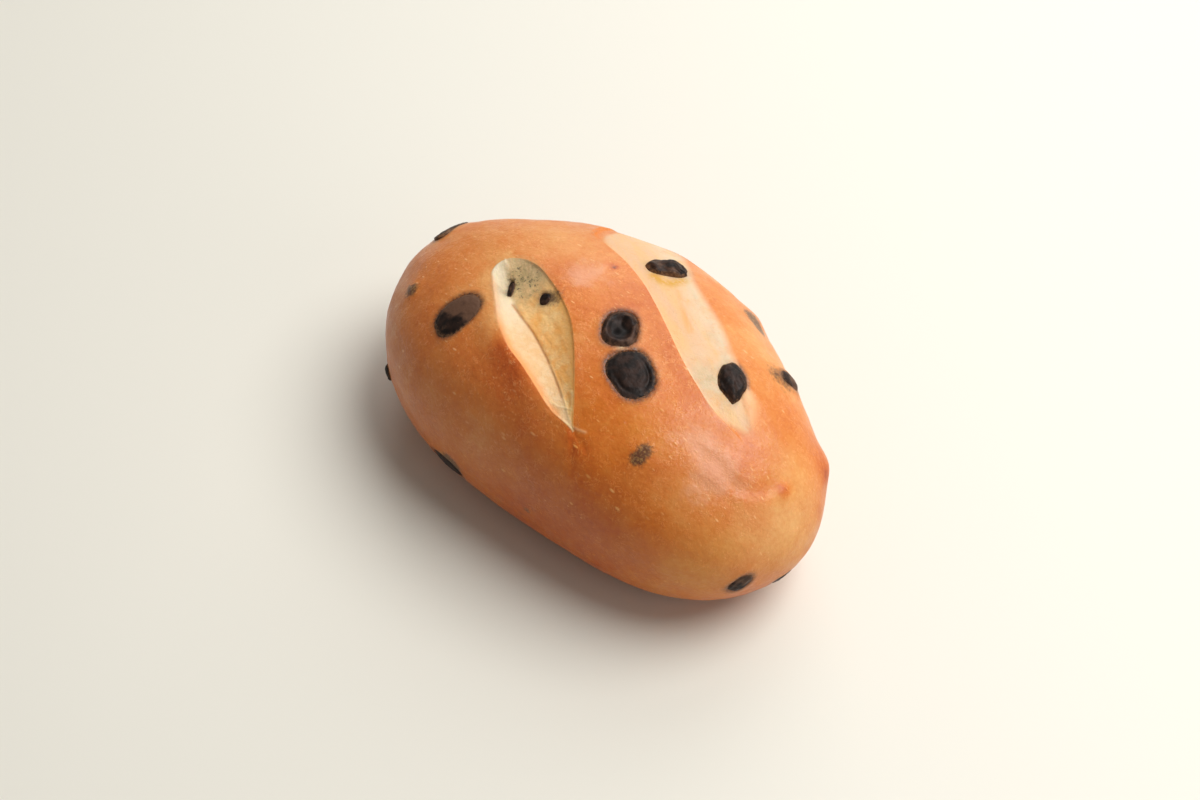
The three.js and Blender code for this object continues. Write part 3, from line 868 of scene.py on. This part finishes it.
def paintRoll(mesh, plain, deep, shallow, rim):
    p = rollPaint
    height = plain[:, 2] / rollForm["height"]
    browning = p["middle"] + p["base"] * smoothStep(0.1 - height, 0, 0.1)
    browning += spots(plain, browningAndSheenSpots) + p["waves"] * slowWaves(plain, 26, 21)
    # the crust is darker just outside a crisp lip: partly a redder crust, partly painted shade on the
    # ridge's side that faces away from the light
    for place in (deep, shallow):
        inside, along = place["inside"], place["along"]
        lip = np.exp(-((inside + 1.4) / 1.7) ** 2) * (inside < 0.2) * (place["across"] < 0)
        browning += p["lip"] * lip * smoothStep(along, 7, 14) * smoothStep(31 - along, 0, 5)
    # painted shade, red brown, under the wrinkle at the deep slash's tip
    underWrinkle = {"points": ((10.8, -23.9), (11.9, -24.8), (13.6, -25.8)), "width": 0.8}
    browning += p["underWrinkle"] * onLine(underWrinkle, plain)
    # and paler round the deep slash's head
    nearHead = smoothStep(deep["along"], 22, 30) * (deep["across"] < 2)
    browning -= p["head"] * np.exp(-((deep["inside"] + 0.5) / 2.6) ** 2) * nearHead
    # the mottling's noises average a half
    keepAttribute(mesh, "browning", browning - sum(crustLook["mottling"].values()) / 2)
    warm = np.clip(spots(plain, warmSpots), 0, 1)
    # warm tint: painted warm shade low on the sides, and the deeper orange patches
    keepAttribute(mesh, "warm", np.maximum(smoothStep(0.72 - height, 0, 0.4), warm))
    # where the painted sheen lies
    keepAttribute(mesh, "dull", np.clip(spots(plain, paintedSheenSpots), 0, 1))
    # the cut skin ends crisply, but softly at the deep slash's upper left and the long slash's right
    onLeft = deep["across"] < 0
    upperLeft = smoothStep(deep["along"], 20, 28) * onLeft * smoothStep(43 - deep["along"], 0, 6)
    softDeep = 0.35 + 1.8 * upperLeft
    softLong = 0.4 + 2.0 * smoothStep(shallow["across"], 0.5, 2.5)
    softLong += 3.2 * smoothStep(10 - shallow["along"], 0, 8)
    softLong += 1.6 * smoothStep(shallow["along"], 46, 60)
    keepAttribute(mesh, "edgeDeep", np.clip((deep["inside"] - softDeep * 0.2) / softDeep, -3, 3))
    # the long slash's tip is blunt, and its head closes beyond the shoulder
    blunt = smoothStep(13 - shallow["along"], 0, 6) * (0.5 + 1.2 * smoothStep(shallow["across"], -0.5, 1.5))
    blunt -= 1.9 * smoothStep(4.5 - shallow["along"], 0, 4)
    closing = 4.5 * smoothStep(shallow["along"], 53, 67)
    inside = shallow["inside"] + blunt - closing
    keepAttribute(mesh, "edgeLong", np.clip((inside - softLong * 0.3) / softLong, -3, 3))
    keepAttribute(mesh, "insideDeep", np.clip(deep["inside"], -5, 5))
    glow = smoothStep(1.5 - deep["inside"], 0, 1.3) * onLeft * smoothStep(31 - deep["along"], 0, 5)
    keepAttribute(mesh, "lipGlow", glow * smoothStep(deep["along"], 1, 5))
    keepAttribute(mesh, "fromValley", np.clip(deep["fromValley"], -12, 12))
    keepAttribute(mesh, "acrossLong", np.clip(shallow["across"], -15, 15))
    for name, place in (("Deep", deep), ("Long", shallow)):
        keepAttribute(mesh, "along" + name, np.clip(place["along"], -20, 80))
    # where the crease's painted shade lies
    keepAttribute(mesh, "crease", onLine(crease, plain))
    # a darker yellow line in the long slash beside the lumpy chip
    stain = {"points": ((-2.5, 15.0), (-0.4, 15.1), (1.4, 16.0), (1.9, 18.8)), "width": 1.2}
    keepAttribute(mesh, "stain", onLine(stain, plain))
    streak = {"points": ((4.0, 15.5), (8.0, 12.5), (13.4, 8.2)), "width": 0.7}
    keepAttribute(mesh, "streak", onLine(streak, plain))
    pale = 0.3 * onLine(wrinkle, plain) + spots(plain, paleSpots)
    for thread in threads:
        pale += 0.35 * onLine(thread, plain)
    keepAttribute(mesh, "pale", np.clip(pale, 0, 1))
    inSlashes = np.maximum(deep["inside"], shallow["inside"]) > -1.5
    keepAttribute(mesh, "smear", np.clip(spots(plain, smears), 0, 1) * inSlashes)
    covered = spots(plain, coveredChips)
    for lon, lat, reach, amount in coveredByAngle:
        covered += amount * soft(plain, plainPoint(direction(np.array([lon]), np.array([lat])))[0], reach)
    keepAttribute(mesh, "covered", np.clip(covered, 0, 1))
    inCrust = 1 - 0.8 * smoothStep(shallow["inside"], 0, 0.5)
    keepAttribute(mesh, "halo", np.exp(-(np.maximum(rim + 0.25, 0) / 0.7) ** 2) * inCrust)


crustMaterial = makeCrust()
rollMesh, *rollParts = buildRoll()
paintRoll(rollMesh, *rollParts)
addPiece("rollLoaf", rollMesh, crustMaterial, "crust", "loaf")
print("roll:", sum(len(face.vertices) - 2 for face in rollMesh.polygons), "triangles")

chipCells = 22  # cells along each edge of the cube that a chip is blown up from
chipLumps = {"lumps": 2.2, "drop": 1.3}  # how uneven a form is, otherwise 1


def chipTop(form, r, angle, x):
    dome = np.sqrt(np.maximum(0, 1 - r ** 2))
    flat = np.maximum(0, 1 - r ** 4) ** 0.5
    if form == "ring":
        # a lump that sank into the hollow
        knob = np.hypot(r * np.cos(angle) - 0.34, r * np.sin(angle) + 0.34)
        ring = dome * (0.06 + 1.3 * np.exp(-((r - 0.74) / 0.22) ** 2))
        return ring + 0.5 * np.exp(-(knob / 0.2) ** 2) - 0.2 * np.exp(-((knob - 0.34) / 0.07) ** 2)
    if form == "disc":
        groove = 0.55 * np.exp(-((angle - 1.0) / 1.1) ** 2) + 0.3 * np.exp(-((angle + 1.24) / 0.7) ** 2)
        return flat * (0.78 + 0.12 * np.exp(-(r / 0.5) ** 2) - groove * np.exp(-((r - 0.68) / 0.09) ** 2))
    if form == "lumps":
        return dome * (0.85 + 0.12 * np.cos(5 * x + 0.8)) * (1 + 0.6 * r ** 2)
    if form == "drop":
        return dome * (1 + 0.05 * np.cos(3 * angle + 1))
    return flat * 0.85


def buildChip(name, chip, seed):
    bm = bmesh.new()
    bmesh.ops.create_cube(bm, size=2)
    bmesh.ops.subdivide_edges(bm, edges=bm.edges[:], cuts=chipCells - 1, use_grid_fill=True)
    ball = cubeToDirections(np.array([v.co for v in bm.verts]))
    r = np.minimum(np.hypot(ball[:, 0], ball[:, 1]), 1)
    angle = np.arctan2(ball[:, 1], ball[:, 0])
    longer, wider = edgeFactors(chip["form"], r, angle)
    x = ball[:, 0] * chip["halfLong"] * longer
    y = ball[:, 1] * chip["halfWide"] * wider
    top = chipTop(chip["form"], r, angle, ball[:, 0]) * (chip["proud"] + chipEdge)
    bottom = -np.sqrt(1 - r ** 2) * (chip["deep"] - chipEdge)
    z = np.where(ball[:, 2] > 0, top, bottom) - chipEdge - (x ** 2 + y ** 2) / (2 * chipBend)
    lumps = 0.1 * chipLumps.get(chip["form"], 1)
    rough = slowWaves(ball * 3 + seed, 2.2, 40 + seed) * lumps + slowWaves(ball * 3, 0.8, 60 + seed) * 0.05
    local = np.stack([x, y, z], -1) * (1 + rough[:, None] * 0.25)
    local[:, 2] += rough * np.where(ball[:, 2] > 0, 0.5, 0)
    points = chip["seat"]["place"] + local @ chip["seat"]["axes"]
    for vert, point in zip(bm.verts, points * mm):
        vert.co = point
    bmesh.ops.recalc_face_normals(bm, faces=bm.faces[:])
    mesh = bpy.data.meshes.new(name)
    bm.to_mesh(mesh)
    bm.free()
    mesh.polygons.foreach_set("use_smooth", [True] * len(mesh.polygons))
    side = smoothStep(ball[:, 0] + 0.4 * ball[:, 1] + 0.5 * slowWaves(ball * 3, 3, seed), -0.9, 0.3)
    side = smoothStep(r, 0.5, 0.7) if chip["form"] == "ring" else side
    # painted shade in the ring chip's hollow
    hollow = np.exp(-(((ball[:, 0] + 0.12) / 0.3) ** 2 + ((ball[:, 1] - 0.1) / 0.3) ** 2))
    keepAttribute(mesh, "hollow", hollow * (chip["form"] == "ring"))
    keepAttribute(mesh, "skin", chip["skin"] * side)
    keepAttribute(mesh, "film", smoothStep(r, 0.72, 1.0) * chip["film"])
    return mesh


chocolateMaterial = makeChocolate()
for number, (name, chip) in enumerate(chips.items()):
    chipMesh = buildChip(name + "Piece", chip, number)
    addPiece("chocolate" + name[-2:], chipMesh, chocolateMaterial, "chocolate", name)
print("chips:", len(chips))

# floor, light and camera
studio = {
    "floor": "#e4e0d4",
    "floorHalf": 2.0,  # m
    "worldColour": "#fffdf8",
    "worldStrength": 0.18,
    # soft boxes: azimuth and elevation in degrees, distance and size in m, power in W
    "lights": {
        "windowLight": (50, 60, 0.9, 0.7, 8.3),
        "backLight": (116, 35, 0.9, 0.8, 3.5),
        "fillLight": (4, 24, 0.9, 0.6, 0.9),
    },
    "lens": 60,
    "azimuth": 43.26,
    "elevation": 53.0,
    "distance": 0.42,
    "target": (-1.06, -2.9, 18.4),  # mm
}

floorMesh = bpy.data.meshes.new("floor")
bm = bmesh.new()
bmesh.ops.create_grid(bm, x_segments=4, y_segments=4, size=studio["floorHalf"])
bm.to_mesh(floorMesh)
bm.free()
floor = bpy.data.objects.new("floor", floorMesh)
bpy.context.scene.collection.objects.link(floor)
floorMaterial, floorTree = newMaterial("paleFloor")
setShader(floorTree, {"Base Color": linear(studio["floor"]), "Roughness": 0.6})
floorMesh.materials.append(floorMaterial)

world = bpy.data.worlds.new("studioWorld")
bpy.context.scene.world = world
world.use_nodes = True
background = world.node_tree.nodes["Background"]
background.inputs["Color"].default_value = linear(studio["worldColour"])
background.inputs["Strength"].default_value = studio["worldStrength"]

for lightName, (turn, rise, distance, size, power) in studio["lights"].items():
    lightData = bpy.data.lights.new(lightName, "AREA")
    lightData.shape = "DISK"
    lightData.size = size
    lightData.energy = power
    light = bpy.data.objects.new(lightName, lightData)
    bpy.context.scene.collection.objects.link(light)
    way = Vector(direction(turn, rise))
    light.location = way * distance + Vector((0, 0, 0.02))
    light.rotation_euler = way.to_track_quat("Z", "Y").to_euler()

camData = bpy.data.cameras.new("camera")
camData.lens = studio["lens"]
camData.sensor_width = 36
camera = bpy.data.objects.new("camera", camData)
bpy.context.scene.collection.objects.link(camera)
turn, rise = math.radians(studio["azimuth"]), math.radians(studio["elevation"])
back = Vector((math.sin(turn) * math.cos(rise), -math.cos(turn) * math.cos(rise), math.sin(rise)))
right = Vector((math.cos(turn), math.sin(turn), 0))
up = back.cross(right)
place = Vector(studio["target"]) * mm + back * studio["distance"]
camera.matrix_world = Matrix.Translation(place) @ Matrix((right, up, back)).transposed().to_4x4()
bpy.context.scene.camera = camera
bpy.context.scene.view_settings.view_transform = "Standard"
print("stage ready")
